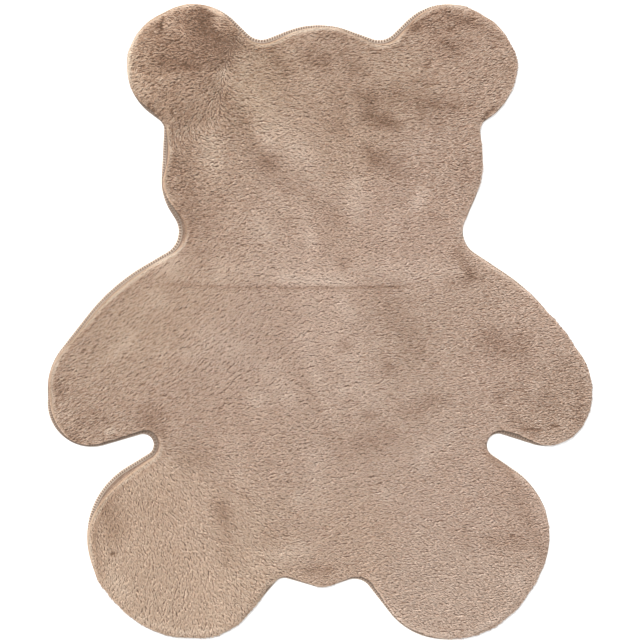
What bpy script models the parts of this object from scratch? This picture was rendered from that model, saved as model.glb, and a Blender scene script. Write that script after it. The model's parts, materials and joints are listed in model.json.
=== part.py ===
"""Bear-shaped plush rug: one flat cut of short-pile cloth with an overlocked edge.

Metres, +Z up. The rug lies on z = 0 with its head towards +Y, and its outline is
centred on the origin.
"""

import math

import bmesh
import bpy

MM = 0.001

# The outline is a belt laid round circles, here from the ears down to the legs. A bend
# of +1 is a circle that the edge bulges round, -1 one that it is hollowed round. The
# circles' centres and radii are in millimetres from the middle of the rug.
SIDE_CIRCLES = (
    # name, bend, (x, y, radius) on the left, (x, y, radius) on the right
    ("ear_crown_dip", -1, (-128, 664, 42), (131, 665, 44)),
    ("ear_top", +1, (-277, 573, 127), (282, 571, 129)),
    ("ear_side", +1, (-297, 562, 128), (302, 558, 131)),
    ("ear_cheek_dip", -1, (-370, 423, 27), (378, 422, 24)),
    ("cheek", +1, (-224, 311, 125), (145, 356, 215)),
    ("neck", -1, (-365, 199, 54), (372, 199, 56)),
    ("shoulder", +1, (-167, -254, 437), (173, -245, 424)),
    ("hand", +1, (-453, -149, 147), (467, -148, 133)),
    ("palm", +1, (-502, -178, 98), (498, -176, 98)),
    ("armpit", -1, (-389, -271, 23), (394, -272, 25)),
    ("thigh", +1, (-334, -474, 179), (330, -473, 177)),
    ("foot", +1, (-289, -499, 198), (285, -504, 196)),
    ("toe", +1, (-267, -558, 140), (275, -547, 153)),
    ("crotch", -1, (-78, -590, 25), (77, -607, 40)),
)
CROWN_CIRCLE = (-2, 461, 193)
BELLY_CIRCLE = (5, -541, 45)
ARC_SAG = 0.5 * MM  # how far the straight steps of an arc may cut its corner

# The oval bead of thread that covers the cut edge
BEAD_WIDTH = 9.0 * MM
BEAD_HEIGHT = 4.4 * MM
BEAD_LIFT = 0.3 * MM  # the bead rides this far above the floor
BEAD_SIDES = 8
GAP = 0.4 * MM  # between the bead and the cloth

# The pile leans to the right and down, so it hides the bead there and bares it at the
# left and at the top.
NAP_LEAN = (3.5 * MM, -2.5 * MM)
PILE_TOP = 16.0 * MM
GROUND_INSET = BEAD_WIDTH + GAP
RIM_PROFILE = (
    # inset from the outline, height, share of the nap's lean
    (GROUND_INSET, 0.0, 0.0),
    (GROUND_INSET, BEAD_LIFT + BEAD_HEIGHT + GAP, 0.0),
    (6.4 * MM, 6.1 * MM, 0.5),
    (5.6 * MM, 8.5 * MM, 1.0),
    (7.0 * MM, 11.5 * MM, 1.0),
    (10.5 * MM, 14.0 * MM, 1.0),
    (17.0 * MM, 15.5 * MM, 1.0),
)

# The pile's upper face lies in broad low swells, with the soft trough of the packing
# fold across the chest.
SURFACE_CELL = 0.045  # side of the cells that the upper face is cut into
WELD = 0.001 * MM  # points nearer than this to a cut lie on it
SWELLS = (
    # wavelength, direction in degrees, height, phase
    (0.41, 24, 0.5 * MM, 0.6),
    (0.27, 118, 0.4 * MM, 2.1),
    (0.19, 71, 0.25 * MM, 4.0),
)
FOLD_Y = 0.074
FOLD_BOW = 0.010  # how far the fold's ends lie above its middle
FOLD_HALF_SPAN = 0.34
FOLD_HALF_WIDTH = 0.014
FOLD_DEPTH = 1.6 * MM

SHARP_ANGLE = math.radians(60)

PLUSH_COLOR = (0.46, 0.33, 0.25, 1.0)
THREAD_COLOR = (0.49, 0.37, 0.28, 1.0)


def clear_scene():
    for obj in list(bpy.data.objects):
        bpy.data.objects.remove(obj, do_unlink=True)


def new_collection(name):
    collection = bpy.data.collections.new(name)
    bpy.context.scene.collection.children.link(collection)
    return collection


def new_material(name, color, roughness):
    material = bpy.data.materials.new(name)
    material.use_nodes = True
    shader = material.node_tree.nodes["Principled BSDF"]
    shader.inputs["Base Color"].default_value = color
    shader.inputs["Roughness"].default_value = roughness
    shader.inputs["Metallic"].default_value = 0.0
    return material


def outline_circles():
    """The circles in counterclockwise order: (x, y, signed radius) in metres."""
    left = [(bend, circle) for _, bend, circle, _ in SIDE_CIRCLES]
    right = [(bend, circle) for _, bend, _, circle in SIDE_CIRCLES]
    around = [(+1, CROWN_CIRCLE)] + left + [(+1, BELLY_CIRCLE)] + right[::-1]
    return [(x * MM, y * MM, bend * radius * MM) for bend, (x, y, radius) in around]


def tangent_normal(circle, following):
    """Outward direction of the straight run from one circle to the following one."""
    dx = following[0] - circle[0]
    dy = following[1] - circle[1]
    distance = math.hypot(dx, dy)
    along = (circle[2] - following[2]) / distance
    across = math.sqrt(1.0 - along * along)
    ux, uy = dx / distance, dy / distance
    return (along * ux + across * uy, along * uy - across * ux)


def outline_anchors():
    """Points round the outline, each as (centre x, centre y, signed radius, nx, ny)."""
    circles = outline_circles()
    normals = [tangent_normal(circle, circles[(i + 1) % len(circles)])
               for i, circle in enumerate(circles)]
    anchors = []
    for i, (x, y, radius) in enumerate(circles):
        start = math.atan2(normals[i - 1][1], normals[i - 1][0])
        end = math.atan2(normals[i][1], normals[i][0])
        turn = (end - start) % math.tau if radius > 0 else -((start - end) % math.tau)
        step = 2 * math.acos(1 - ARC_SAG / abs(radius))
        count = max(1, math.ceil(abs(turn) / step))
        for k in range(count + 1):
            angle = start + turn * k / count
            anchors.append((x, y, radius, math.cos(angle), math.sin(angle)))
    return anchors


def ring_points(anchors, inset, height, lean):
    """The outline moved in by inset, at one height, shifted by a share of the lean."""
    points = []
    for x, y, radius, nx, ny in anchors:
        reach = radius - inset
        points.append((x + reach * nx + lean * NAP_LEAN[0],
                       y + reach * ny + lean * NAP_LEAN[1], height))
    return points


def swell_height(x, y):
    """How far the pile's upper face stands above or below its mean height."""
    height = 0.0
    for wavelength, degrees, amplitude, phase in SWELLS:
        angle = math.radians(degrees)
        along = x * math.cos(angle) + y * math.sin(angle)
        height += amplitude * math.sin(math.tau * along / wavelength + phase)
    fold_y = FOLD_Y + FOLD_BOW * (x / FOLD_HALF_SPAN) ** 2
    fold = FOLD_DEPTH * math.exp(-((y - fold_y) / FOLD_HALF_WIDTH) ** 2)
    return height - fold


def cut_positions(reach):
    """Where the upper face is cut across one axis, out to reach on both sides."""
    count = math.ceil(reach / SURFACE_CELL)
    return [k * SURFACE_CELL for k in range(-count, count + 1)]


def unique(items):
    """The items in their first order, each one once."""
    return list(dict.fromkeys(items))


def slice_face(mesh, face, axis, positions):
    """Cut one flat face into strips by planes across an axis."""
    pieces = [face]
    normal = [1.0 if k == axis else 0.0 for k in range(3)]
    for position in positions:
        point = [position if k == axis else 0.0 for k in range(3)]
        corners = unique(vert for piece in pieces for vert in piece.verts)
        sides = unique(edge for piece in pieces for edge in piece.edges)
        cut = bmesh.ops.bisect_plane(mesh, geom=corners + sides + pieces, dist=WELD,
                                     plane_co=point, plane_no=normal)
        pieces = [item for item in cut["geom"] if isinstance(item, bmesh.types.BMFace)]
    return pieces


def new_ring(mesh, anchors, section):
    return [mesh.verts.new(point) for point in ring_points(anchors, *section)]


def skin_rings(mesh, rings):
    """Faces from each ring to the next one outside or above it."""
    for lower, upper in zip(rings, rings[1:]):
        for i in range(len(lower)):
            j = (i + 1) % len(lower)
            mesh.faces.new((lower[i], lower[j], upper[j], upper[i]))


def finish_object(mesh, name):
    """Turn a bmesh into a smooth-shaded object."""
    data = bpy.data.meshes.new(name)
    mesh.to_mesh(data)
    mesh.free()
    data.shade_smooth()
    data.set_sharp_from_angle(angle=SHARP_ANGLE)
    return bpy.data.objects.new(name, data)


def shape_top(mesh, top):
    """Cut the flat upper face into cells and lay it in its swells and its fold."""
    reach_x = max(abs(vert.co.x) for vert in top.verts)
    reach_y = max(abs(vert.co.y) for vert in top.verts)
    fold_cuts = [FOLD_Y + k * FOLD_HALF_WIDTH for k in (-1, 0, 1)]
    even_cuts = [y for y in cut_positions(reach_y)
                 if min(abs(y - cut) for cut in fold_cuts) > FOLD_HALF_WIDTH]
    rim = set(top.verts)
    cells = []
    for strip in slice_face(mesh, top, 1, even_cuts + fold_cuts):
        cells += slice_face(mesh, strip, 0, cut_positions(reach_x))
    for vert in unique(vert for cell in cells for vert in cell.verts):
        base = RIM_PROFILE[-1][1] if vert in rim else PILE_TOP
        vert.co.z = base + swell_height(vert.co.x, vert.co.y)


def build_plush_cloth(anchors):
    """The slab of pile cloth: a flat underside, a rounded leaning rim, a soft top."""
    mesh = bmesh.new()
    rings = [new_ring(mesh, anchors, section) for section in RIM_PROFILE]
    skin_rings(mesh, rings)
    mesh.faces.new(rings[0][::-1])
    shape_top(mesh, mesh.faces.new(rings[-1]))
    bmesh.ops.triangulate(mesh, faces=mesh.faces[:])
    return finish_object(mesh, "plush_cloth")


def build_overlocked_edge(anchors):
    """The bead of thread round the cut edge, as a closed oval tube."""
    mesh = bmesh.new()
    rings = []
    for k in range(BEAD_SIDES):
        angle = math.tau * k / BEAD_SIDES
        inset = BEAD_WIDTH * (1 - math.cos(angle)) / 2
        height = BEAD_LIFT + BEAD_HEIGHT * (1 + math.sin(angle)) / 2
        rings.append(new_ring(mesh, anchors, (inset, height, 0.0)))
    skin_rings(mesh, rings + rings[:1])
    return finish_object(mesh, "overlocked_edge")


def main():
    clear_scene()
    rug = new_collection("bear_rug")
    anchors = outline_anchors()
    parts = (
        (build_plush_cloth(anchors), new_material("plush", PLUSH_COLOR, 0.9)),
        (build_overlocked_edge(anchors), new_material("thread", THREAD_COLOR, 0.8)),
    )
    for obj, material in parts:
        obj.data.materials.append(material)
        rug.objects.link(obj)


main()
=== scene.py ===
"""Looks of the bear-shaped plush rug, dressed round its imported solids.

Metres, +Z up, in the frame of the solids; lengths in the tables are in millimetres. The
cloth is a shell of dense underfur on a knitted back. Leaning locks of pile stand on it,
and overlock stitches run round its cut edge.
"""

import itertools
import json
import math

import bpy
import numpy as np
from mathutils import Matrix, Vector
from mathutils.geometry import delaunay_2d_cdt

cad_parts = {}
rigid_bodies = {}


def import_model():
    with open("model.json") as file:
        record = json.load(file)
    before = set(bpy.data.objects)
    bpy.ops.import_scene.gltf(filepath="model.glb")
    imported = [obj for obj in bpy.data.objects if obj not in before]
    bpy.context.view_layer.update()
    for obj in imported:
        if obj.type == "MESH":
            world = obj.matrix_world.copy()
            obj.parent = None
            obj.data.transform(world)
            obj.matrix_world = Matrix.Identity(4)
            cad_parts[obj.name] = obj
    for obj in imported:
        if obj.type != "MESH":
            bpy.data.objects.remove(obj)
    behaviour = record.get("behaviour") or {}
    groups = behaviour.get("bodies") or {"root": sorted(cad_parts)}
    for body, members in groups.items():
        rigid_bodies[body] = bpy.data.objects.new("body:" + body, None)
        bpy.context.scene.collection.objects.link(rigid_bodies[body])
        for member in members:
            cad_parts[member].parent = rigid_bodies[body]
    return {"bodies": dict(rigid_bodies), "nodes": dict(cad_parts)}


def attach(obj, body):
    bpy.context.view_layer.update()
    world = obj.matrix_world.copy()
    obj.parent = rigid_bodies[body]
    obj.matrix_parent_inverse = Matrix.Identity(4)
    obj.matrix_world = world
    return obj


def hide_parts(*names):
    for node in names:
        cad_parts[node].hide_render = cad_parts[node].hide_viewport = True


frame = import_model()

MM = 0.001

# ---- the outline, as in the solids: a belt laid round circles ----
SIDE_CIRCLES = (
    # name, bend, (x, y, radius) on the left, (x, y, radius) on the right
    ("ear_crown_dip", -1, (-128, 664, 42), (131, 665, 44)),
    ("ear_top", +1, (-277, 573, 127), (282, 571, 129)),
    ("ear_side", +1, (-297, 562, 128), (302, 558, 131)),
    ("ear_cheek_dip", -1, (-370, 423, 27), (378, 422, 24)),
    ("cheek", +1, (-224, 311, 125), (145, 356, 215)),
    ("neck", -1, (-365, 199, 54), (372, 199, 56)),
    ("shoulder", +1, (-167, -254, 437), (173, -245, 424)),
    ("hand", +1, (-453, -149, 147), (467, -148, 133)),
    ("palm", +1, (-502, -178, 98), (498, -176, 98)),
    ("armpit", -1, (-389, -271, 23), (394, -272, 25)),
    ("thigh", +1, (-334, -474, 179), (330, -473, 177)),
    ("foot", +1, (-289, -499, 198), (285, -504, 196)),
    ("toe", +1, (-267, -558, 140), (275, -547, 153)),
    ("crotch", -1, (-78, -590, 25), (77, -607, 40)),
)
CROWN_CIRCLE = (-2, 461, 193)
BELLY_CIRCLE = (5, -541, 45)
HALF_BOX = (0.62, 0.72)  # half of a box round the whole outline

# ---- the pile's form ----
PILE_PROFILE = (
    # depth from the rug's outline where the nap runs along it, height
    (5.6, 8.5), (7.2, 10.8), (10.0, 13.0), (14.0, 14.7), (20.0, 15.7), (40.0, 16.0),
)
UNDERFUR_PROFILE = (
    # inset, height, share of the rim's reach
    (9.4, 0.0, 0.0), (9.4, 5.1, 0.0), (7.8, 6.2, 0.6), (6.8, 7.6, 1.0),
    (8.2, 9.4, 1.0), (11.5, 11.0, 1.0), (18.0, 11.7, 1.0),
)
UNDERFUR_TOP = (30.0, 11.8, 1.0)  # what its profile comes to
PILE_SWELLS = (8.5 * MM, 15.0 * MM)  # depths between which the swells set in
UNDERFUR_SWELLS = (9.0 * MM, 15.0 * MM)
OVERHANG = 3.3 * MM  # how far the nap moves the pile's rim
MOST_REACH = 8.0 * MM  # the furthest that the rim comes out
RIM_SHIFTS = (
    # x, y, extent, how much further in the pile's rim stands
    (-250, 700, 70, -5), (290, 700, 70, -3), (-425, 570, 80, -1), (436, 570, 45, -5),
    (-378, 462, 24, 6), (382, 450, 28, -1.5), (0, 655, 90, 1.5), (-128, 622, 55, 5.5),
    (128, 621, 55, 6), (-350, 385, 42, 6), (360, 330, 50, -3), (-350, 300, 38, -8),
    (-311, 192, 50, 4), (-430, 95, 110, 5), (530, -15, 55, -4.5), (-605, -120, 75, -8),
    (600, -178, 45, -3.5), (430, -255, 35, 4), (-535, -262, 60, -6.5), (-372, -265, 30, 3),
    (510, -268, 60, -4), (-455, -345, 70, 8), (-515, -470, 60, -5), (0, -588, 50, -4),
    (-470, -590, 60, -8), (-110, -592, 22, 2.5), (453, -606, 50, -4.5), (-150, -645, 45, -2),
    (150, -645, 60, -4.5), (-290, -690, 110, -1.5), (320, -700, 90, -4),
)
SWELLS = (
    # wavelength, direction in degrees, height, phase
    (0.41, 24, 0.5 * MM, 0.6), (0.27, 118, 0.4 * MM, 2.1), (0.19, 71, 0.25 * MM, 4.0),
)
FOLD_Y = 0.074
FOLD_BOW = 0.010
FOLD_HALF_SPAN = 0.34
FOLD_HALF_WIDTH = 0.014
FOLD_DEPTH = 1.6 * MM
FOLD_ENDS = ((-0.37, -0.30), (0.24, 0.16))  # x where its line sets in and where it ends

# ---- the locks of pile ----
SEED = 11
LOCK_PITCH = 2.62 * MM
LOCK_JITTER = 0.38
LOCK_WIDTH = 2.5 * MM
LOCK_LEAN = 10.5 * MM  # from over a lock's root to its tip
LEAST_LEAN = 0.5  # share of the lean left where naps meet
TONE_LEAN = 0.12  # further lean for each unit of tone
TONE_LEANS = (0.65, 1.25)  # the least and the most that this comes to
LOCK_LENGTHS = (0.8, 1.15)  # shortest and longest, as shares of the lean
LEAST_DEPTH = 7.0 * MM  # of the outermost roots
PEAK_SHARE = 0.42  # where along a lock its highest point is
SHOWN_SHARE = 0.7  # where along a lock the middle of what shows is
TIP_DROOP = 1.2 * MM  # of a tip below the highest point
ROOT_DEPTH = 1.0 * MM  # of a root in the underfur
CLUMP_PITCH = 5.5 * MM
CLUMP_STRETCH = 2.2
CLUMP_PULL = 0.35
TWIST = math.radians(7)  # of the clumps and, besides, of their locks
GRAIN = (
    # size of the noise's cells, run along the nap, distance across it that it is set off
    # from, tone, rise, level that it counts from: the dark gaps, whose tone is painted shade, and the
    # tufts
    (1.8, 9.0, 2.8, -1.5, -0.85, 0.4), (4.2, 16.0, 0.0, 0.1, 0.25, None),
)
LOCK_RISE = 0.3 * MM
CREASE_TONE = -1.6  # pile brushed up more than this also lies lower
CREASE_DEPTH = 0.9 * MM  # for each unit of tone below that
DEEPEST = 2.2 * MM  # the most that this comes to
BAND = (11.0 * MM, 16.0 * MM)  # depths where the rim's smooth band ends
BAND_WAVE = 1.5 * MM
BAND_WAVE_RUN = 30 * MM
BAND_EVEN = 0.93  # how much less the locks stray in it
BAND_FROM = math.radians(128)  # the side that faces the key light and gets the band's painted light
BAND_SIDES = (0.0, 0.65)
HAIRY_RIM = 2.0 * MM  # unevenness of the tips at the rim
RIM_ROW_PITCH = 1.9 * MM
RIM_ROWS = (
    # the roots' depth, height and share of the reach, how far the tips hang below the face,
    # and where the rim is in its own shade, how much further out they come and their tone of painted
    # shade
    (7.6, 6.3, 0.7, 2.4, 1.6, -4.0), (7.1, 7.2, 1.0, 1.2, 0.4, -1.0),
    (7.4, 8.3, 1.0, 0.6, 0.0, 0.0),
)
RIM_WAVE = 1.4 * MM  # slower waves of the rim
RIM_WAVE_RUN = 14 * MM
WAVE_CELL = 9 * MM  # cells of both waves' noise
PILE_PIECES = ("pile_feet", "pile_belly", "pile_chest", "pile_neck", "pile_head")

NAP_REACH = 95
NAP = (
    # x, y, degrees in which the tips point, strength of the grain, how far the locks stray
    # from that direction, how much yellower and redder they are
    (-290, 670, 160, 3.2, 3, 1, 1.3), (290, 640, 10, 1.7, 1, 0.2, 0.6),
    (-275, 600, 200, 3.2, 3, 0.8, 1.2), (-410, 590, 205, 2, 2.6, 1.4, 1.3),
    (380, 500, 10, 1.7, 1.2, 0.1, 0.1), (-345, 470, 215, 2.6, 3, 1, 0.8),
    (10, 590, 15, 1.8, 1.6, 0.4, 0.4), (-140, 560, 358, 1.6, 1.8, 1.2, 0.2),
    (140, 560, 0, 1.65, 1, 0.5, 0), (0, 440, 350, 1.1, 2, 0.4, -0.1),
    (-280, 330, 0, 1.6, 2.6, 0.6, 0.3), (280, 330, 0, 1.6, 1, -0.2, 0),
    (-60, 300, 354, 1.05, 1.4, -0.1, -0.3), (-240, 190, 15, 1.4, 2.4, 0.1, 0.2),
    (230, 190, 3, 1, 1.2, -0.4, 0), (0, 170, 357, 0.8, 1.8, -0.2, -0.1),
    (-330, 70, 35, 1.2, 1.2, 0.5, -0.1), (330, 60, 1, 1.2, 1, -0.3, -0.5),
    (-430, -40, 32, 1.35, 1.4, 0.6, -0.3), (430, -60, 2, 1.25, 1, -0.45, -0.3),
    (520, -160, 358, 1.42, 1, -0.3, -0.7), (-520, -170, 26, 1.85, 1.3, 0.3, 0),
    (-350, -190, 30, 1.6, 1.5, 0, 0), (-10, 0, 5, 0.55, 2, -0.4, -0.4),
    (170, -40, 2, 1.2, 1.1, -0.3, -0.7), (-190, -60, 35, 1, 2.4, -0.4, -0.7),
    (-190, -250, 3, 0.9, 2, -0.1, -0.1), (190, -250, 5, 0.95, 1.6, -0.5, -0.8),
    (0, -260, 4, 0.85, 2.2, -0.4, -0.7), (350, -370, 356, 0.85, 1.4, -0.6, -0.6),
    (-370, -380, 288, 0.5, 1.5, 0.4, -1.1), (-245, -425, 328, 0.75, 1.8, 0.1, -0.9),
    (0, -470, 5, 0.8, 1.6, 0, -0.4), (-170, -560, 322, 0.7, 1.8, 0.4, -1),
    (300, -580, 350, 0.6, 1.5, -0.6, -1.2), (-310, -590, 272, 0.4, 1.7, 0.5, -0.9),
)

# ---- brushed patches: painted shade where the pile stands up, painted light where it lies flat ----
LIGHT_AND_SHADE_PATCHES = (
    # x, y of one end, x, y of the other end, reach, tone: painted light above 0, painted shade below
    # creases, pits and ragged marks, in painted shade
    (-249, 674, -224, 672, 3, -2.2), (-262, 660, -250, 673, 3, -4), (-283, 666, -263, 658, 3.5, -4),
    (-347, 665, -355, 634, 4, -5), (-350, 655, -376, 633, 3, -2.5), (284, 642, 301, 647, 3, -3),
    (250, 576, 236, 556, 3, -3), (-302, 564, -298, 562, 4, -3), (-380, 474, -378, 472, 5, -5),
    (-371, 462, -369, 461, 5, -5), (-331, 461, -325, 452, 3, -4), (-358, 452, -356, 451, 5, -5),
    (385, 467, 386, 468, 5, -6), (372, 456, 373, 457, 5, -6), (363, 445, 363, 446, 4, -4),
    (455, -238, 487, -238, 3.5, -3), (512, -228, 528, -230, 3, -3), (-566, -245, -564, -246, 3, -4),
    (-532, -265, -530, -265, 3, -4), (-503, -267, -501, -267, 3, -4), (-230, -353, -153, -388, 4, -0.9),
    (425, -472, 428, -471, 4, -4), (-455, -514, -452, -514, 4, -5),
    # along the rim, painted light and shade
    (-285, 698, -205, 682, 11, 2), (352, 148, 470, 58, 11, 0.7), (-400, -655, -300, -689, 7, 0.9),
    (-300, -689, -210, -682, 7, 0.9), (-492, -455, -480, -560, 13, -0.7),
    (-300, 694, -395, 640, 11, 1.4), (300, 696, 408, 635, 8, 1.5), (182, 652, 212, 645, 14, -1.6),
    (-62, 638, 40, 650, 12, 1.6), (12, 630, 50, 628, 13, -1), (402, 572, 415, 558, 14, -0.6),
    (-410, 632, -428, 535, 11, 4), (-318, 244, -300, 196, 12, -2.6), (316, 225, 316, 188, 11, 1.3),
    (-548, -42, -484, 46, 12, -1.2), (396, -166, 400, -166, 14, -1.2), (578, -148, 574, -215, 13, -1),
    (-362, -230, -348, -242, 13, -1.3), (-562, -250, -522, -263, 9, -0.9),
    (-358, -268, -378, -286, 13, -2.6), (374, -290, 425, -326, 9, -2.3),
    (-385, -300, -480, -372, 13, -1.6), (428, -345, 495, -515, 12, -0.7),
    (-105, -578, 135, -612, 9, 1.6), (225, -683, 290, -691, 7, 1), (334, -686, 418, -637, 7, 1),
    (150, -640, 215, -688, 10, 1.3),
    # from the ears down to the legs
    (-262, 688, -254, 640, 19, -3.1), (345, 682, 400, 625, 15, -1), (276, 680, 362, 646, 8, -1),
    (-225, 672, -222, 650, 16, 1.6), (-330, 655, -305, 630, 18, 1.6), (225, 655, 330, 660, 22, -1.2),
    (-300, 630, -225, 590, 62, -2.3), (-240, 630, -205, 604, 20, -1.2), (285, 610, 290, 606, 16, -0.9),
    (-385, 600, -370, 540, 45, -0.6), (270, 600, 300, 600, 26, -0.9), (-164, 575, -158, 572, 18, 1.6),
    (-345, 572, -290, 560, 16, -2.4), (-218, 543, -214, 538, 20, 2.6), (-180, 540, -45, 375, 34, 0.9),
    (-410, 530, -390, 500, 26, 1.2), (-172, 530, -168, 480, 20, 0.5), (-352, 528, -350, 524, 14, 1.2),
    (170, 508, 243, 530, 16, -0.8), (-205, 490, -110, 350, 22, -1.1), (-340, 480, -300, 460, 40, -0.8),
    (235, 475, 275, 465, 26, -0.7), (215, 455, 262, 428, 14, -0.5), (-10, 590, 75, 570, 24, -0.8),
    (-100, 588, -72, 550, 15, -1.5), (-22, 576, 15, 562, 14, -1), (75, 550, 105, 545, 14, -1.1),
    (-22, 535, -18, 525, 14, 0.8), (46, 500, 52, 430, 20, -0.8), (85, 500, 330, 470, 16, -1.1),
    (110, 480, 145, 450, 22, -1.2), (106, 450, 165, 432, 17, -2), (15, 435, 60, 408, 16, -0.7),
    (-130, 410, -112, 390, 22, 1.5), (-238, 400, -230, 350, 28, 1.5), (226, 393, 230, 393, 15, 0.8),
    (-45, 375, 5, 300, 26, 0.6), (112, 375, 125, 345, 18, -1.1), (130, 360, 165, 345, 18, -1.5),
    (-302, 350, -275, 215, 28, -1.1), (-110, 350, 45, 225, 22, -1), (330, 350, 330, 320, 20, -0.7),
    (150, 322, 215, 320, 12, -0.6), (-75, 320, -45, 305, 22, 0.7), (80, 305, 84, 306, 15, 0.8),
    (78, 290, 84, 228, 24, 0.8), (-108, 282, -72, 254, 15, 0.7), (226, 282, 215, 250, 18, 1.4),
    (-30, 272, 12, 262, 22, 0.6), (45, 245, 95, 265, 28, 0.5), (245, 240, 262, 225, 10, -0.7),
    (170, 235, 155, 190, 18, 0.7), (-32, 232, -28, 188, 22, 0.7), (-190, 230, -80, 160, 40, 0.4),
    (-135, 228, -112, 185, 20, 1), (-238, 205, -208, 268, 17, -0.6), (-16, 186, -16, 166, 13, 1.1),
    (305, 150, 332, 105, 12, -1.8), (-352, 130, -322, 140, 20, 1.5), (-322, 112, -315, 105, 14, 0.8),
    (-370, 60, -440, -60, 14, 0.6), (-350, 46, -338, 42, 16, 1), (450, -30, 452, -75, 16, -0.8),
    (385, -35, 408, -62, 20, -0.7), (370, -45, 410, -55, 34, -0.9), (-350, -62, -270, -70, 14, 0.6),
    (-455, -78, -405, -42, 20, 0.7), (535, -95, 560, -130, 24, -0.6), (-578, -120, -580, -95, 14, 0.8),
    (472, -140, 476, -142, 15, 1.4), (-575, -150, -570, -120, 20, -0.9),
    (470, -150, 520, -190, 55, -0.9), (-549, -206, -545, -206, 15, 1.4),
    (-540, -215, -480, -215, 26, -0.8), (-385, -215, -355, -200, 22, -1.3),
    (430, -215, 470, -245, 17, -0.9), (-560, -238, -535, -250, 10, -0.8),
    (-463, -240, -458, -238, 13, 1.7), (-252, 150, -246, 112, 20, -0.6), (50, 130, 58, 128, 14, -1.5),
    (-250, 112, 300, 112, 34, 0.85), (-222, 95, -216, 90, 14, 0.8), (-80, 94, 55, 86, 12, 1.3),
    (288, 82, 344, 97, 15, -1.2), (140, 55, 215, -60, 34, -0.8), (50, 42, 67, 20, 17, 1.2),
    (-15, 40, 60, -60, 36, 0.6), (-250, -30, -180, -60, 24, 0.6), (-30, -30, -5, -120, 20, 0.9),
    (58, -45, 66, -60, 13, -1.2), (50, -58, 54, -58, 14, -1.2), (60, -60, 110, -170, 34, 0.7),
    (153, -98, 157, -102, 16, -1.2), (-112, -110, -70, -160, 26, 0.8), (-40, -110, 55, -310, 15, -0.4),
    (0, -140, 28, -205, 20, 0.5), (44, -150, 48, -152, 14, 1.1), (-143, -165, -140, -168, 16, 1.2),
    (256, -172, 270, -174, 16, -0.9), (-120, -175, -138, -215, 18, 0.6),
    (195, -196, 235, -184, 20, -0.9), (111, -206, 113, -206, 14, -1.4),
    (-185, -260, -170, -345, 24, 0.5), (90, -270, 150, -250, 30, -0.9), (238, -284, 295, -246, 17, 0.7),
    (-5, -290, 0, -410, 24, 0.6), (222, -302, 232, -316, 15, 0.7), (-290, -310, -255, -300, 24, -0.7),
    (390, -340, 440, -440, 30, -0.4), (144, -376, 152, -380, 18, 0.6),
    (-420, -385, -330, -400, 40, -0.35), (-44, -388, -42, -390, 15, 1.2),
    (-465, -400, -440, -450, 30, -0.8), (-215, -410, -205, -440, 22, -1.5),
    (-470, -420, -455, -480, 22, -0.9), (-360, -450, -345, -500, 70, -0.35),
    (-112, -465, -104, -470, 24, -0.5), (318, -465, 325, -485, 16, -0.7),
    (-204, -480, -200, -530, 19, -0.7), (380, -480, 450, -490, 20, -1), (-92, -518, -30, -500, 20, 1),
    (-25, -548, 25, -545, 12, -1.2), (330, -560, 260, -620, 60, 0.2), (435, -566, 430, -590, 17, 0.7),
    (-452, -568, -428, -602, 18, 0.8),
)
# painted shade in the packing fold's crease
FOLD_TONE = -1.7
FOLD_LINE_REACH = 3.5
# painted light on the smooth band along the rim's side towards the key light
BAND_TONE = 1.2
BAND_RISE = (6.0 * MM, 11.0 * MM)  # depths between which its painted light sets in
BAND_TINT = (-0.2, -1.5)  # how much yellower and redder its pile is
BAND_OUTER_TONE = -2.0  # painted shade on its steep outer slope
BAND_OUTER = (6.0 * MM, 10.0 * MM)  # depths between which that ends
BAND_INNER_TONE = -0.8  # painted shade on the pile where the band ends
BAND_INNER = (20.0 * MM, 4.0 * MM)  # depth and reach of that
LOCK_TONE = 0.65
MOST_UNEVEN = 1.9  # how strong the grain may count for this

# ---- the cloth's shell ----
SHELL_CELL = 10.0 * MM
SHELL_STEP = 4.0 * MM

# ---- the overlock stitches ----
BEAD_WIDTH = 9.0 * MM
BEAD_HEIGHT = 4.4 * MM
BEAD_LIFT = 0.3 * MM
STITCH_PITCH = 5.7 * MM
THREAD_RADIUS = 1.6 * MM
BEAD_OUT = 0.8 * MM  # of the threads past the cut
WRAP_START, WRAP_END = -60, 195  # degrees round the bead, 0 outwards and 90 up
WRAP_STEPS = 6
WRAP_SLANT = 1.8 * MM
THREAD_SIDES = 5
CHAIN_RADIUS = 0.9 * MM
CHAIN_STEPS = 3
CHAIN_SIDES = 4
CHAINS = (
    # inset, height, sway across the edge, sway up and down
    (1.0, 2.5, 0.0, 0.6), (8.4, 4.4, 0.4, 0.0),
)
DARK_SIDES = 0.45  # where the pile shades the thread
THREAD_SHADE_SPOTS = (
    # x, y, extent, painted shade on the thread, which is lessened below 0
    (386, 464, 6, 0.7), (-385, 460, 34, 0.8), (374, 453, 6, 0.7), (372, 445, 24, -0.2),
    (364, 442, 5, 0.6), (-150, 625, 60, -0.45), (150, 625, 60, -0.45), (-347, 405, 36, 0.35),
    (-322, 235, 30, 0.6), (-585, -215, 40, 0.1), (425, -258, 40, 0.5), (-545, -262, 45, 0.6),
    (-440, -265, 40, 0.5), (-365, -268, 24, 0.6), (490, -270, 36, 0.4), (-105, -585, 26, 0.2),
    (100, -590, 26, 0.1),
)
INNER_SHADE = 0.5  # painted shade added on the side of the pile
INNER_SIDES = (0.35, 0.8)  # shares of its way between which this sets in
MOST_SHADE = 0.95  # the darkest that the thread gets
CORE_SHARE = 0.4  # of the bead's half height
CORE_SIDES = 8
CORE_STEP = 5.0 * MM

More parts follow.
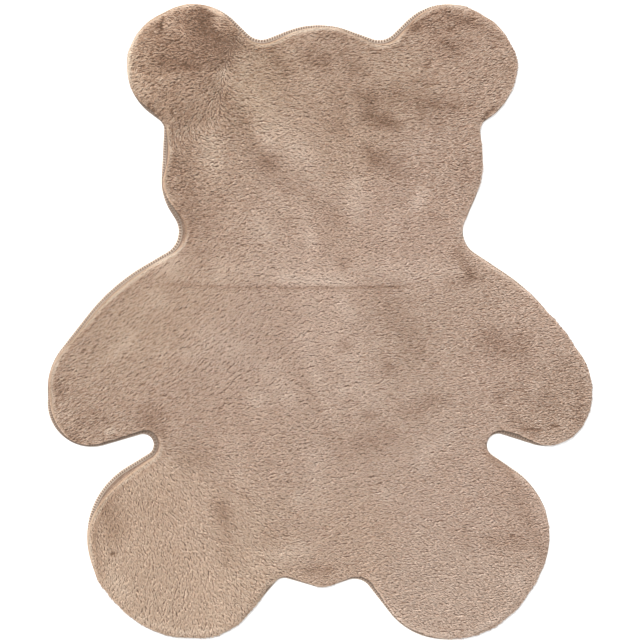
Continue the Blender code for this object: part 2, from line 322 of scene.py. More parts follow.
# ---- colours ----
COAT_TONES = (
    # tone, colour of the pile
    (-7.5, (0.140, 0.079, 0.048)), (-4.0, (0.262, 0.150, 0.094)),
    (-1.5, (0.501, 0.336, 0.242)), (0.0, (0.628, 0.460, 0.356)),
    (1.5, (0.704, 0.546, 0.441)), (3.5, (0.799, 0.661, 0.554)),
    (5.5, (0.900, 0.780, 0.670)),
)
TINTS = (
    # what yellow and red add to the factors of the three channels
    (0.0, 0.0, -0.050), (0.012, -0.018, -0.020),
)
ROOT_SHADE = 0.7
FIBRE_SPREAD = 7.0  # between two locks' stripes in the noise
FIBRE_STRIPES = 2.2
FIBRE_TONE = 1.0
# the underfur's own darker colour, with painted shade between the locks
UNDERFUR_COLOR = (0.21, 0.14, 0.10)
BACKING_COLOR = (0.50, 0.40, 0.32)
THREAD_COLOR = (0.70, 0.58, 0.48)
THREAD_DARK = (0.55, 0.45, 0.365)
THREAD_SHADE = (0.15, 0.105, 0.078)
# the cut edge, dark as painted shade between the threads
CORE_SHADE_COLOR = (0.17, 0.115, 0.082)
FLOOR_COLOR = (0.93, 0.93, 0.925)

# ---- camera and light ----
VIEW_WIDTH = 1.408  # that the picture shows at the rug's rim
LENS = 85.0
SENSOR = 36.0
AIM = (0.0011, 0.0033)
SUN_STRENGTH = 3.76
SUN_ANGLE = math.radians(38)
SUN_TILT = math.radians(42)  # from straight above
SUN_FROM = math.radians(116)  # where it comes from, 90 being the head's side
SKY_STRENGTH = 1.12
FLOOR_SIDE = 14.0


# ---- outline ----

def outline_arcs():
    """Its arcs counterclockwise: (x, y, signed radius, first angle, turn)."""
    left = [(bend, circle) for _, bend, circle, _ in SIDE_CIRCLES]
    right = [(bend, circle) for _, bend, _, circle in SIDE_CIRCLES]
    around = [(+1, CROWN_CIRCLE)] + left + [(+1, BELLY_CIRCLE)] + right[::-1]
    circles = [(x * MM, y * MM, bend * radius * MM) for bend, (x, y, radius) in around]
    ends = []
    for circle, following in zip(circles, circles[1:] + circles[:1]):
        dx, dy, gain = np.subtract(following, circle)
        ends.append(math.atan2(dy, dx) - math.acos(-gain / math.hypot(dx, dy)))
    arcs = []
    for circle, start, end in zip(circles, ends[-1:] + ends, ends):
        turn = (end - start) % math.tau if circle[2] > 0 else -((start - end) % math.tau)
        arcs.append((*circle, start, turn))
    return arcs


def outline_line(spacing):
    """Evenly spaced points along the outline and their outward directions."""
    rows = []
    for x, y, radius, start, turn in ARCS:
        angles = start + turn * np.linspace(0, 1, max(2, math.ceil(abs(turn * radius) / MM)))
        nx, ny = np.cos(angles), np.sin(angles)
        rows.append(np.stack([x + radius * nx, y + radius * ny, nx, ny], axis=1))
    rows = np.concatenate(rows + [rows[0][:1]])
    steps = np.hypot(np.diff(rows[:, 0]), np.diff(rows[:, 1]))
    reached = np.concatenate([[0.0], np.cumsum(steps)])
    count = round(reached[-1] / spacing)
    places = reached[-1] * np.arange(count) / count
    even = np.stack([np.interp(places, reached, column) for column in rows.T], axis=1)
    return even[:, :2], unit(even[:, 2:])


def edge_distance(points):
    """How far inside the outline points lie, and the outward direction there."""
    inset = np.full(len(points), np.inf)
    outward = np.zeros_like(points)

    def take(new_inset, new_outward, valid):
        nearer = valid & (np.abs(new_inset) < np.abs(inset))
        inset[nearer] = new_inset[nearer]
        outward[nearer] = new_outward[nearer]

    for arc, following in zip(ARCS, ARCS[1:] + ARCS[:1]):
        x, y, radius, start, turn = arc
        side = math.copysign(1.0, radius)
        offset = points - (x, y)
        reach = np.hypot(offset[:, 0], offset[:, 1])
        normals = side * offset / np.maximum(reach, 1e-9)[:, None]
        angles = np.arctan2(normals[:, 1], normals[:, 0])
        along = (math.copysign(1.0, turn) * (angles - start)) % math.tau
        take(radius - side * reach, normals, along <= abs(turn))

        normal = np.array([math.cos(start + turn), math.sin(start + turn)])
        first = np.array([x, y]) + radius * normal
        run = np.array(following[:2]) + following[2] * normal - first
        share = (points - first) @ run / max(run @ run, 1e-12)
        on_run = (share >= 0) & (share <= 1)
        take(-(points - first) @ normal, np.broadcast_to(normal, points.shape), on_run)
    return inset, outward


# ---- surfaces ----

def unit(vectors):
    """The vectors at length 1."""
    lengths = np.linalg.norm(vectors, axis=-1, keepdims=True)
    return vectors / np.maximum(lengths, 1e-9)


def leftward(directions):
    """Flat directions turned left by a quarter."""
    return np.column_stack([-directions[:, 1], directions[:, 0]])


def spread(points, x, y, reach):
    """1 at a place and less away from it: x, y and reach in millimetres."""
    offset = points / MM - (x, y)
    return np.exp(-np.sum(offset ** 2, axis=1) / reach ** 2)


def turned(vectors, angles):
    """Flat vectors turned by angles in radians."""
    return np.cos(angles)[:, None] * vectors + np.sin(angles)[:, None] * leftward(vectors)


def smooth_step(low, high, values):
    share = np.clip((values - low) / (high - low), 0, 1)
    return share * share * (3 - 2 * share)


def fold_distance(points):
    """How far above the packing fold's line points lie."""
    return points[:, 1] - FOLD_Y - FOLD_BOW * (points[:, 0] / FOLD_HALF_SPAN) ** 2


def swell_height(points):
    """How far the pile's face lies above its mean height."""
    height = np.zeros(len(points))
    for wavelength, degrees, amplitude, phase in SWELLS:
        angle = math.radians(degrees)
        along = points @ (math.cos(angle), math.sin(angle))
        height += amplitude * np.sin(math.tau * along / wavelength + phase)
    return height - FOLD_DEPTH * np.exp(-(fold_distance(points) / FOLD_HALF_WIDTH) ** 2)


def face_height(profile, swells, points, inset):
    """Height of a face at points inset from its leaned rim."""
    insets, heights = np.array(profile)[:, :2].T * MM
    return np.interp(inset, insets, heights) + smooth_step(*swells, inset) * swell_height(points)


def pile_height(points, inset):
    return face_height(PILE_PROFILE, PILE_SWELLS, points, inset)


def underfur_height(points, inset):
    profile = UNDERFUR_PROFILE[3:] + (UNDERFUR_TOP,)
    return face_height(profile, UNDERFUR_SWELLS, points, inset)


# ---- nap and tone ----

def nap_field(points):
    """The nap, shorter where unlike naps meet, and its other columns."""
    total = np.zeros((len(points), 2))
    pattern = np.zeros((len(points), 4))
    weights = np.zeros(len(points))
    for x, y, degrees, *columns in NAP:
        weight = spread(points, x, y, NAP_REACH) + 1e-9
        angle = math.radians(degrees)
        total += weight[:, None] * (math.cos(angle), math.sin(angle))
        pattern += weight[:, None] * columns
        weights += weight
    return total / weights[:, None], pattern / weights[:, None]


def rim_reach(points, outward, nap):
    """How far the pile's rim comes out past its mean line."""
    reach = OVERHANG * np.sum(outward * nap, axis=1)
    for x, y, extent, shift in RIM_SHIFTS:
        reach -= shift * MM * spread(points, x, y, extent)
    return np.minimum(reach, MOST_REACH)


def lit_side_share(outward):
    """1 on the sides towards the key light, where the band's light is painted, 0 on the sides in shade.
    """
    return smooth_step(*BAND_SIDES, outward @ (math.cos(BAND_FROM), math.sin(BAND_FROM)))


def streaks(points, direction, size, run, rng, apart=0.0):
    """Unit noise, drawn out for a run and set off from that on both sides."""
    reach = np.array(HALF_BOX) + run + apart
    cells = rng.normal(0, 1, tuple(np.ceil(2 * reach / size).astype(int) + 2))
    steps = np.linspace(-0.5, 0.5, math.ceil(1.5 * run / size)) * run
    across = leftward(direction)
    sides = ((0, 1.0), (-1, -0.5), (1, -0.5)) if apart else ((0, 1.0),)
    total = np.zeros(len(points))
    for step, (side, weight) in itertools.product(steps, sides):
        place = (points + step * direction + side * apart * across + reach) / size
        column, row = np.floor(place).astype(int).T
        u, v = (place - np.floor(place)).T
        near = (1 - v) * cells[column, row] + v * cells[column, row + 1]
        far = (1 - v) * cells[column + 1, row] + v * cells[column + 1, row + 1]
        total += weight * ((1 - u) * near + u * far)
    return total / total.std()


def pile_tone(points):
    """The painted light and shade of the brushed pile and of the fold, 0 being its mean."""
    places = points / MM
    tone = np.zeros(len(points))
    for x, y, end_x, end_y, reach, strength in LIGHT_AND_SHADE_PATCHES:
        run = np.array([end_x - x, end_y - y])
        offset = places - (x, y)
        share = np.clip(offset @ run / max(run @ run, 1e-9), 0, 1)
        distance = np.linalg.norm(offset - share[:, None] * run, axis=1)
        tone += strength * np.exp(-(distance / reach) ** 2)
    # painted shade along the fold's crease, faded out towards its ends
    fold = np.exp(-(fold_distance(points) / (FOLD_LINE_REACH * MM)) ** 2)
    for end in FOLD_ENDS:
        fold *= smooth_step(*end, points[:, 0])
    return tone + FOLD_TONE * fold


# ---- meshes ----

def make_mesh(name, vertices, faces):
    """A mesh object from points and triangles or quads."""
    data = bpy.data.meshes.new(name)
    count, sides = faces.shape
    data.vertices.add(len(vertices))
    data.vertices.foreach_set("co", vertices.astype(np.float32).ravel())
    data.loops.add(count * sides)
    data.loops.foreach_set("vertex_index", faces.astype(np.int32).ravel())
    data.polygons.add(count)
    data.polygons.foreach_set("loop_start", np.arange(0, count * sides, sides, dtype=np.int32))
    data.update(calc_edges=True)
    data.shade_smooth()
    return add_object(name, data)


def add_object(name, data):
    obj = bpy.data.objects.new(name, data)
    bpy.context.scene.collection.objects.link(obj)
    return obj


def add_attribute(obj, name, values):
    """A number or a vector for each vertex."""
    kind, field = ("FLOAT", "value") if values.ndim == 1 else ("FLOAT_VECTOR", "vector")
    attribute = obj.data.attributes.new(name, kind, "POINT")
    attribute.data.foreach_set(field, values.astype(np.float32).ravel())


def ring_faces(rings, length, closed=False):
    """Quads between neighbouring rings of one length."""
    lower = np.arange(rings if closed else rings - 1)[:, None] * length
    upper = (lower + length) % (rings * length)
    here = np.arange(length)
    there = (here + 1) % length
    corners = [lower + here, lower + there, upper + there, upper + here]
    return np.stack(corners, axis=2).reshape(-1, 4)


def halved(quads):
    """Two triangles for each quad."""
    return np.concatenate([quads[:, [0, 1, 2]], quads[:, [0, 2, 3]]])


def thread_rings(paths, along, radius, sides):
    """A ring round each point of some paths."""
    across = unit(np.cross(along, (0.0, 0.0, 1.0)) + 1e-6)
    above = np.cross(across, along)
    angles = math.tau * np.arange(sides) / sides
    rim = (np.cos(angles)[:, None] * across[..., None, :] +
           np.sin(angles)[:, None] * above[..., None, :])
    return paths[..., None, :] + radius * rim


def make_tubes(name, paths, radius, sides):
    """Many short threads with pointed ends, each along its own path."""
    count, steps, _ = paths.shape
    along = unit(np.gradient(paths, axis=1))
    bodies = thread_rings(paths, along, radius, sides).reshape(count, steps * sides, 3)
    first = paths[:, :1] - radius * along[:, :1]
    last = paths[:, -1:] + radius * along[:, -1:]
    vertices = np.concatenate([bodies, first, last], axis=1)

    here = np.arange(sides)
    there = (here + 1) % sides
    start = np.full(sides, steps * sides)
    top = (steps - 1) * sides
    one = np.concatenate([halved(ring_faces(steps, sides)),
                          np.stack([start, there, here], axis=1),
                          np.stack([start + 1, top + here, top + there], axis=1)])
    shift = (steps * sides + 2) * np.arange(count)
    faces = (one[:, ::-1] + shift[:, None, None]).reshape(-1, 3)
    return make_mesh(name, vertices.reshape(-1, 3), faces)


def make_loop(name, path, radius, sides):
    """One thread that closes on itself."""
    along = unit(np.roll(path, -1, axis=0) - np.roll(path, 1, axis=0))
    rings = thread_rings(path, along, radius, sides).swapaxes(0, 1)
    faces = halved(ring_faces(sides, len(path), closed=True))
    return make_mesh(name, rings.reshape(-1, 3), faces)


# ---- materials ----

def start_material(name, roughness, sheen):
    """A material and its nodes."""
    material = bpy.data.materials.new(name)
    material.use_nodes = True
    feed_shader(material, {"Roughness": roughness, "Specular IOR Level": 0.25,
                           "Sheen Weight": sheen, "Sheen Roughness": 0.45,
                           "Sheen Tint": (0.95, 0.88, 0.80, 1.0)})
    return material, material.node_tree


def feed_shader(material, inputs):
    """Feeds the material's shader."""
    feed(material.node_tree, material.node_tree.nodes["Principled BSDF"], inputs)
    return material


def rgba(color):
    return (*color, 1.0)


def dimmed(color, share):
    return tuple(share * channel for channel in color)


def feed(tree, node, inputs):
    """Gives some of a node's sockets a value or a link."""
    for socket, value in inputs.items():
        if isinstance(value, bpy.types.NodeSocket):
            tree.links.new(value, node.inputs[socket])
        else:
            node.inputs[socket].default_value = value


def add_node(tree, kind, inputs, operation=None):
    node = tree.nodes.new("ShaderNode" + kind)
    if operation:
        node.operation = operation
    feed(tree, node, inputs)
    return node


def add_noise(tree, scale, detail=2.0, place=None):
    """Noise of so many cells a metre, in the object's own coordinates."""
    place = place or add_node(tree, "TexCoord", {}).outputs["Object"]
    noise = add_node(tree, "TexNoise", {"Vector": place, "Scale": scale, "Detail": detail})
    return noise.outputs["Fac"]


def read_attribute(tree, name, output="Fac"):
    node = add_node(tree, "Attribute", {})
    node.attribute_name = name
    return node.outputs[output]


def add_range(tree, value, low, high, new_low=0.0, new_high=1.0):
    """The value moved from one range to another."""
    node = add_node(tree, "MapRange", {"Value": value, "From Min": low, "From Max": high,
                                       "To Min": new_low, "To Max": new_high})
    return node.outputs["Result"]


def add_mix(tree, share, first, second):
    """A mix of two colours, each a socket or three numbers."""
    node = add_node(tree, "Mix", {})
    node.data_type = "RGBA"
    colors = [rgba(color) if isinstance(color, tuple) else color for color in (first, second)]
    feed(tree, node, {0: share, 6: colors[0], 7: colors[1]})
    return node.outputs[2]


def finish(material, color, height, distance, strength=1.0):
    """The material with its colour and its bump."""
    bump = add_node(material.node_tree, "Bump",
                    {"Height": height, "Distance": distance, "Strength": strength})
    return feed_shader(material, {"Base Color": color, "Normal": bump.outputs["Normal"]})


def pile_material():
    """Plush: each lock in its tone, which holds painted light and shade, darker towards its root, with
    fine fibres.
    """
    material, tree = start_material("plush_pile", 0.92, 0.14)
    place = add_node(tree, "CombineXYZ", {"X": read_attribute(tree, "across"),
                                          "Y": read_attribute(tree, "along")})
    stripes = add_noise(tree, FIBRE_STRIPES, 1.0, place.outputs[0])
    fibres = add_range(tree, stripes, 0.3, 0.7, -FIBRE_TONE, FIBRE_TONE)
    tone = add_node(tree, "Math", {0: read_attribute(tree, "tone"), 1: fibres}, "ADD")
    low, high = COAT_TONES[0][0], COAT_TONES[-1][0]
    ramp = add_node(tree, "ValToRGB", {"Fac": add_range(tree, tone.outputs[0], low, high)})
    stops = ramp.color_ramp.elements
    while len(stops) < len(COAT_TONES):
        stops.new(0.5)
    for stop, (tone_value, color) in zip(stops, COAT_TONES):
        stop.position = (tone_value - low) / (high - low)
        stop.color = rgba(color)
    rise = add_range(tree, read_attribute(tree, "rise"), 0.0, 1.0, ROOT_SHADE, 1.0)
    shaded = add_node(tree, "VectorMath", {0: ramp.outputs["Color"], "Scale": rise}, "SCALE")
    tint = read_attribute(tree, "tint", "Vector")
    tinted = add_node(tree, "VectorMath", {0: shaded.outputs[0], 1: tint}, "MULTIPLY")
    return finish(material, tinted.outputs[0], stripes, 0.3 * MM, 0.6)


def underfur_material():
    """The dense short fibres that show between the locks, darker in their own colour and in painted
    shade.
    """
    material, tree = start_material("plush_underfur", 0.95, 0.1)
    patches = add_range(tree, add_noise(tree, 260.0, 4.0), 0.35, 0.65)
    color = add_mix(tree, patches, dimmed(UNDERFUR_COLOR, 0.6), UNDERFUR_COLOR)
    return finish(material, color, add_noise(tree, 900.0), 0.6 * MM)


def backing_material():
    """The knitted back of the cloth: small courses and wales."""
    material, tree = start_material("knitted_backing", 0.9, 0.1)
    place = add_node(tree, "TexCoord", {}).outputs["Object"]
    waves = []
    for direction, scale in (("X", 420.0), ("Y", 300.0)):
        wave = add_node(tree, "TexWave", {"Vector": place, "Scale": scale / math.tau,
                                          "Distortion": 0.6})
        wave.bands_direction = direction
        waves.append(wave.outputs["Fac"])
    stitch = add_node(tree, "Math", {0: waves[0], 1: waves[1]}, "MULTIPLY").outputs[0]
    darker = dimmed(BACKING_COLOR, 0.72)
    knit = add_mix(tree, stitch, darker, BACKING_COLOR)
    wear = add_range(tree, add_noise(tree, 9.0, 4.0), 0.3, 0.7, 0.0, 0.25)
    return finish(material, add_mix(tree, wear, knit, darker), stitch, 0.4 * MM)


def thread_material(name, light, dark, roughness):
    """Thread: pale and dark stretches under fine fibres, dark in the shade."""
    material, tree = start_material(name, roughness, 0.15)
    stretches = add_range(tree, add_noise(tree, 45.0, 3.0), 0.35, 0.65)
    color = add_mix(tree, stretches, dark, light)
    color = add_mix(tree, read_attribute(tree, "shade"), color, THREAD_SHADE)
    fibres = add_range(tree, add_noise(tree, 1500.0), 0.3, 0.7, 0.0, 0.35)
    color = add_mix(tree, fibres, color, dark)
    return finish(material, color, add_noise(tree, 2200.0), 0.2 * MM)


def floor_material():
    material, tree = start_material("floor", 0.9, 0.0)
    grain = add_range(tree, add_noise(tree, 3.0, 3.0), 0.3, 0.7, 0.0, 0.03)
    color = add_mix(tree, grain, FLOOR_COLOR, dimmed(FLOOR_COLOR, 0.9))
    return feed_shader(material, {"Base Color": color})


# ---- the rug's cloth ----

def ring_points(line, inset, height):
    """The outline moved in by one inset or by each point's own, at one height."""
    points, normals = line
    flat = points - np.reshape(inset, (-1, 1)) * normals
    return np.column_stack([flat, np.full(len(flat), height)])


def fill_ring(ring, inner_points):
    """Triangles that fill a ring and use the points inside it."""
    count = len(ring)
    flat = [Vector(point) for point in np.concatenate([ring, inner_points])]
    edges = [(i, (i + 1) % count) for i in range(count)]
    made = delaunay_2d_cdt(flat, edges, [], 1, 1e-7)
    return np.array([tuple(p) for p in made[0]]), np.array(made[2])


def pile_depth(points):
    """How far inside the pile's rim points lie, and what that comes from."""
    inset, outward = edge_distance(points)
    nap, pattern = nap_field(points)
    return inset + rim_reach(points, outward, nap), outward, nap, pattern


def build_cloth():
    """A flat knitted back and the underfur that the locks stand on."""
    line = outline_line(SHELL_STEP)
    reach = rim_reach(*line, nap_field(line[0])[0])
    rings = [ring_points(line, inset * MM - share * reach, height * MM)
             for inset, height, share in UNDERFUR_PROFILE]
    walls = halved(ring_faces(len(rings), len(line[0])))
    inner = hex_grid(SHELL_CELL)
    inner = inner[pile_depth(inner)[0] > (UNDERFUR_PROFILE[-1][0] + 3) * MM]
    top_flat, top_faces = fill_ring(rings[-1][:, :2], inner)
    top_height = underfur_height(top_flat, pile_depth(top_flat)[0])
    rings[-1] = np.column_stack([top_flat, top_height])
    _, floor_faces = fill_ring(rings[0][:, :2], np.empty((0, 2)))

    vertices = np.concatenate(rings)
    top_faces += (len(rings) - 1) * len(line[0])
    triangles = np.concatenate([walls, facing(top_faces, vertices, +1),
                                facing(floor_faces, vertices, -1)])
    cloth = make_mesh("plush_ground", vertices, triangles)
    cloth.data.materials.append(underfur_material())
    cloth.data.materials.append(backing_material())
    slots = np.zeros(len(triangles), np.int32)
    slots[-len(floor_faces):] = 1
    cloth.data.polygons.foreach_set("material_index", slots)
    cloth.data.set_sharp_from_angle(angle=math.radians(60))
    return cloth


def facing(faces, vertices, side):
    """The triangles wound to face up for side +1, down for -1."""
    a, b, c = vertices[faces].swapaxes(0, 1)
    area = np.cross(b - a, c - a)[:, 2]
    return np.where((area * side > 0)[:, None], faces, faces[:, ::-1])


# ---- the pile ----

def hex_grid(pitch):
    """Points of a hexagonal grid over the rug's box."""
    rows = np.arange(-HALF_BOX[1], HALF_BOX[1], pitch * math.sqrt(3) / 2)
    columns = np.arange(-HALF_BOX[0], HALF_BOX[0], pitch)
    x, y = np.meshgrid(columns, rows)
    x[1::2] += pitch / 2
    return np.column_stack([x.ravel(), y.ravel()])


def nearest_clump(points, nap, rng):
    """The nearest clump centres, with lengths along the nap counted short."""
    reach = np.array(HALF_BOX) + 4 * CLUMP_PITCH
    shape = tuple(np.ceil(2 * reach / CLUMP_PITCH).astype(int))
    jitter = rng.uniform(0.1, 0.9, (*shape, 2))
    home = np.floor((points + reach) / CLUMP_PITCH).astype(int)
    direction = unit(nap)
    nearest = np.full(len(points), np.inf)
    centres = np.zeros_like(points)
    numbers = np.zeros(len(points), int)
    for step in itertools.product(range(-2, 3), repeat=2):
        cell = home + step
        candidate = (cell + jitter[cell[:, 0], cell[:, 1]]) * CLUMP_PITCH - reach
        offset = points - candidate
        along = np.sum(offset * direction, axis=1) / CLUMP_STRETCH
        across = offset[:, 0] * direction[:, 1] - offset[:, 1] * direction[:, 0]
        distance = np.hypot(along, across)
        nearer = distance < nearest
        nearest[nearer] = distance[nearer]
        centres[nearer] = candidate[nearer]
        numbers[nearer] = (cell[:, 0] * shape[1] + cell[:, 1])[nearer]
    return centres, numbers, shape[0] * shape[1]


def lean_share(nap, tone):
    """How far over the pile lies: less where naps meet and where it is brushed up."""
    strength = np.linalg.norm(nap, axis=1)
    lean = LEAST_LEAN + (1 - LEAST_LEAN) * strength
    return lean * np.clip(1 + TONE_LEAN * tone, *TONE_LEANS)


def grain_parts(points, direction, rng):
    """What the grain adds to the locks' tone, painted shade in its dark gaps, and to their height."""
    tone, rise = np.zeros((2, len(points)))
    for size, run, apart, tone_step, rise_step, level in GRAIN:
        noise = streaks(points, direction, size * MM, run * MM, rng, apart * MM)
        if level is not None:
            noise = np.maximum(noise - level, 0)
            noise -= noise.mean()
        tone += tone_step * noise
        rise += rise_step * MM * noise
    return tone, rise


def field_locks(rng):
    """The locks all over the face, as columns that comb_locks takes."""
    roots = hex_grid(LOCK_PITCH)
    roots += rng.uniform(-LOCK_JITTER, LOCK_JITTER, roots.shape) * LOCK_PITCH
    places = (roots, *pile_depth(roots))
    stands = places[1] > LEAST_DEPTH
    places = [rows[stands] for rows in places]
    base = underfur_height(*places[:2]) - ROOT_DEPTH
    none = np.zeros(len(base))
    return (*places, base, none + TIP_DROOP, none, none)


def rim_locks(rng):
    """Rows of locks on the steep side of the rim, in the same form."""
    points, outward = outline_line(RIM_ROW_PITCH)
    nap, pattern = nap_field(points)
    reach = rim_reach(points, outward, nap)
    rows = []
    # painted shade on the rim's side away from the key light
    shade = 1 - lit_side_share(outward)
    for root_depth, height, share, droop, further, tone in RIM_ROWS:
        slide = rng.uniform(-0.5, 0.5, (len(points), 1)) * RIM_ROW_PITCH
        inset = root_depth * MM - share * reach
        roots = points + slide * leftward(outward) - outward * inset[:, None]
        rows.append((roots, inset + reach, outward, nap, pattern,
                     np.full(len(points), (height - 0.5) * MM),
                     np.full(len(points), droop * MM), shade * further * MM, shade * tone))
    return tuple(np.concatenate(parts) for parts in zip(*rows))


def comb_locks(roots, depth, outward, nap, pattern, base, droop, further, shade_tone, rng):
    """The locks' root, peak and tip points, their tones and their tints."""
    count = len(roots)
    centres, numbers, clumps = nearest_clump(roots, nap, rng)
    clump_turn = rng.normal(0, 1, clumps)[numbers]
    edge = leftward(outward)
    wave = BAND_WAVE * streaks(roots, edge, WAVE_CELL, BAND_WAVE_RUN, rng)
    band = lit_side_share(outward) * (1 - smooth_step(*BAND, depth + wave))
    even = 1 - BAND_EVEN * band
    grain, stray = pattern[:, :2].T
    rough = grain * even
    way = unit(nap)
    gap_shade_and_tuft_tone, grain_rise = grain_parts(roots, way, rng)
    turn = TWIST * stray * (clump_turn + rng.normal(0, 1, count))
    # the brushed pile's painted light and shade, which also sets its lean and its creases
    brushed = pile_tone(roots + SHOWN_SHARE * LOCK_LEAN * way)
    length = LOCK_LEAN * lean_share(nap, brushed) * rng.uniform(*LOCK_LENGTHS, count)
    pull = CLUMP_PULL * even[:, None] * (centres - roots)
    sway = turned(way, even * turn) * length[:, None] + pull

    out = np.sum(outward * sway, axis=1)
    spare = depth - PILE_PROFILE[0][0] * MM + HAIRY_RIM * rng.uniform(-1, 1, count) + further
    spare += RIM_WAVE * streaks(roots, edge, WAVE_CELL, RIM_WAVE_RUN, rng)
    sway -= outward * np.maximum(out - spare, 0)[:, None]
    out = np.minimum(out, spare)
    rise = rough * (grain_rise + LOCK_RISE * rng.normal(0, 1, count))
    rise -= CREASE_DEPTH * np.maximum(CREASE_TONE - brushed, 0)
    rise = np.maximum(rise, -DEEPEST)

    def lifted(share, drop):
        flat = roots + share * sway
        height = pile_height(flat, depth - share * out) + rise - drop
        return np.column_stack([flat, height])

    # Tone: painted light on the band, painted shade on its outer slope, where it ends and on the rim's
    # shaded side.
    place, reach = BAND_INNER
    inner_row = lit_side_share(outward) * np.exp(-((depth - place) / reach) ** 2)
    own_tone = LOCK_TONE * rng.normal(0, 1, count)
    pale = band * smooth_step(*BAND_RISE, depth)
    tone = brushed + BAND_TONE * pale + BAND_INNER_TONE * inner_row
    tone += band * BAND_OUTER_TONE * (1 - smooth_step(*BAND_OUTER, depth))
    tone += rough * gap_shade_and_tuft_tone + np.minimum(rough, MOST_UNEVEN) * own_tone + shade_tone
    tint = 1 + (pattern[:, 2:] + np.outer(band, BAND_TINT)) @ TINTS
    return (np.column_stack([roots, base]), lifted(PEAK_SHARE, 0.0),
            lifted(1.0, droop), tone, tint)


def make_locks(name, roots, peaks, tips, tones, tints, material):
    """Many closed locks, each with a root edge, a peak and a drooping tip."""
    count = len(roots)
    flat = tips - roots
    flat[:, 2] = 0
    side = unit(np.cross(flat, (0.0, 0.0, 1.0)))
    height = np.sum(np.cross(side, tips - roots) * (peaks - roots), axis=1)
    half = 0.5 * LOCK_WIDTH * side * np.sign(height)[:, None]
    vertices = np.stack([roots - half, roots + half, peaks, tips], axis=1).reshape(-1, 3)
    one = np.array([(0, 1, 2), (1, 3, 2), (3, 0, 2), (1, 0, 3)])
    faces = (one + 4 * np.arange(count)[:, None, None]).reshape(-1, 3)
    obj = make_mesh(name, vertices, faces)
    # tone: the locks' random tone with painted light and shade
    add_attribute(obj, "tone", np.repeat(tones, 4))
    add_attribute(obj, "tint", np.repeat(tints, 4, axis=0))
    add_attribute(obj, "rise", np.tile((0.0, 0.0, 1.0, 0.9), count))
    add_attribute(obj, "across", np.tile((-1.0, 1.0, 0.0, 0.0), count) +
                  FIBRE_SPREAD * np.repeat(np.arange(count) % 97, 4))
    add_attribute(obj, "along", np.tile((0.0, 0.0, PEAK_SHARE, 1.0), count))
    lay_out_cells(obj, one, count)
    obj.data.materials.append(material)
    return obj


def lay_out_cells(obj, one, count):
    """A map with one cell for each lock."""
    across = math.ceil(math.sqrt(count))
    corner = np.array([(0.15, 0.15), (0.85, 0.15), (0.5, 0.45), (0.5, 0.9)])
    origin = np.stack(divmod(np.arange(count), across)[::-1], axis=1)
    places = (origin[:, None] + corner[one.ravel()][None]) / across
    layer = obj.data.uv_layers.new(name="OFBake")
    layer.data.foreach_set("uv", places.astype(np.float32).ravel())


def build_pile():
    """The pile, in pieces from the feet to the head."""
    rng = np.random.default_rng(SEED)
    placed = [np.concatenate(parts) for parts in zip(field_locks(rng), rim_locks(rng))]
    locks = comb_locks(*placed, rng)
    order = np.argsort(locks[0][:, 1], kind="stable")
    material = pile_material()
    return [make_locks(name, *(rows[chosen] for rows in locks), material)
            for name, chosen in zip(PILE_PIECES, np.array_split(order, len(PILE_PIECES)))]


# ---- the overlocked edge ----

def bead_point(points, outward, degrees, shrink):
    """Points on the oval bead at one angle, sunk in by shrink."""
    angle = math.radians(degrees)
    half_width = BEAD_WIDTH / 2 - shrink
    half_height = BEAD_HEIGHT / 2 - shrink
    inset = BEAD_WIDTH / 2 - half_width * math.cos(angle) - BEAD_OUT * math.cos(angle / 2)
    height = BEAD_LIFT + BEAD_HEIGHT / 2 + half_height * math.sin(angle)
    flat = points - inset * outward
    return np.column_stack([flat, np.full(len(flat), height)])


def thread_shade(points, outward):
    """How much shade is painted on the thread along the outline."""
    shade = DARK_SIDES * (1 - lit_side_share(outward))
    for x, y, extent, darkness in THREAD_SHADE_SPOTS:
        shade += darkness * spread(points, x, y, extent)
    return np.clip(shade, 0, MOST_SHADE)


def inner_shade(share):
    """How much shade is painted on the thread at a share of its way to the pile."""
    return INNER_SHADE * smooth_step(*INNER_SIDES, share)


def shaded(thread, shade, material):
    """The thread with its shade and its material."""
    add_attribute(thread, "shade", np.clip(shade, 0, MOST_SHADE).ravel())
    thread.data.materials.append(material)
    return thread


def build_core(material):
    """The cloth's cut edge, coloured dark as painted shade between the threads."""
    points, outward = outline_line(CORE_STEP)
    shrink = (1 - CORE_SHARE) * BEAD_HEIGHT / 2
    rings = [bead_point(points, outward, 360 * k / CORE_SIDES, shrink)
             for k in range(CORE_SIDES)]
    quads = ring_faces(CORE_SIDES, len(points), closed=True)
    core = make_mesh("overlocked_core", np.concatenate(rings), quads)
    return shaded(core, np.tile(thread_shade(points, outward), CORE_SIDES), material)


def build_wraps(material):
    """The slanted threads that go over the cut edge."""
    points, outward = outline_line(STITCH_PITCH)
    along = np.column_stack([leftward(outward), np.zeros(len(points))])
    steps = []
    for k in range(WRAP_STEPS):
        share = k / (WRAP_STEPS - 1)
        degrees = WRAP_START + share * (WRAP_END - WRAP_START)
        place = bead_point(points, outward, degrees, THREAD_RADIUS)
        steps.append(place + WRAP_SLANT * (share - 0.5) * along)
    wraps = make_tubes("overlock_wraps", np.stack(steps, axis=1), THREAD_RADIUS, THREAD_SIDES)
    over = np.repeat(np.arange(WRAP_STEPS) / (WRAP_STEPS - 1), THREAD_SIDES)
    inner = inner_shade(np.concatenate([over, (0.0, 1.0)]))
    return shaded(wraps, thread_shade(points, outward)[:, None] + inner, material)


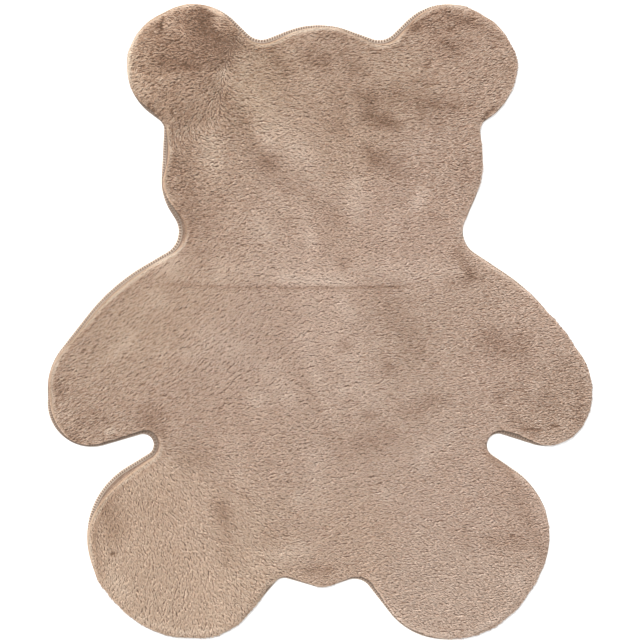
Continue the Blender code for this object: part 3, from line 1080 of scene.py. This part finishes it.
def build_chains(material):
    """The looper threads that link the wraps, on the edge and on the top."""
    pieces = []
    stitches = len(outline_line(STITCH_PITCH)[0])
    points, outward = outline_line(STITCH_PITCH / CHAIN_STEPS)
    phase = math.tau * np.arange(len(points)) * stitches / len(points)
    for number, (inset, height, sway, bob) in enumerate(CHAINS, 1):
        depth = (inset + sway * np.sin(phase)) * MM
        flat = points - depth[:, None] * outward
        path = np.column_stack([flat, (height + bob * np.sin(phase)) * MM])
        chain = make_loop(f"overlock_chain_{number}", path, CHAIN_RADIUS, CHAIN_SIDES)
        shade = thread_shade(points, outward) + inner_shade(inset * MM / BEAD_WIDTH)
        pieces.append(shaded(chain, np.tile(shade, CHAIN_SIDES), material))
    return pieces


# ---- stage ----

def build_floor():
    corners = FLOOR_SIDE / 2 * np.array([(-1, -1, 0), (1, -1, 0), (1, 1, 0), (-1, 1, 0)])
    floor = make_mesh("floor", corners, np.array([(0, 1, 2, 3)]))
    floor.data.materials.append(floor_material())


def place_camera():
    """Straight above the rug, as wide as the picture."""
    camera = add_object("camera", bpy.data.cameras.new("camera"))
    camera.data.lens = LENS
    camera.data.sensor_width = SENSOR
    rug_top = PILE_PROFILE[0][1] * MM
    camera.location = (*AIM, rug_top + VIEW_WIDTH * LENS / SENSOR)
    bpy.context.scene.camera = camera


def light_scene():
    """A broad soft key light from the upper left under a pale sky."""
    sun = bpy.data.lights.new("key", "SUN")
    sun.energy = SUN_STRENGTH
    sun.angle = SUN_ANGLE
    lamp = add_object("key", sun)
    lamp.rotation_euler = (0.0, SUN_TILT, SUN_FROM)
    world = bpy.data.worlds.new("studio")
    world.use_nodes = True
    background = world.node_tree.nodes["Background"]
    background.inputs["Color"].default_value = (1.0, 1.0, 1.0, 1.0)
    background.inputs["Strength"].default_value = SKY_STRENGTH
    bpy.context.scene.world = world
    bpy.context.scene.view_settings.view_transform = "Standard"


def clear_startup():
    """Removes what Blender's startup file holds beside the frame."""
    kept = list(frame["nodes"].values()) + list(frame["bodies"].values())
    for obj in list(bpy.data.objects):
        if obj not in kept:
            bpy.data.objects.remove(obj, do_unlink=True)


def dress(piece):
    """Lets a piece ride on the rug."""
    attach(piece, "root")


clear_startup()
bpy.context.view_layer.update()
ARCS = outline_arcs()

cloth = build_cloth()
pile = build_pile()
thread = thread_material("overlock_thread", THREAD_COLOR, THREAD_DARK, 0.8)
core = build_core(thread_material("cut_edge_shade", CORE_SHADE_COLOR, CORE_SHADE_COLOR, 0.95))
stitches = [core, build_wraps(thread)] + build_chains(thread)

for piece in [cloth] + pile:
    dress(piece)
for piece in stitches:
    dress(piece)
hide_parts("plush_cloth")
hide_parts("overlocked_edge")

build_floor()
place_camera()
light_scene()
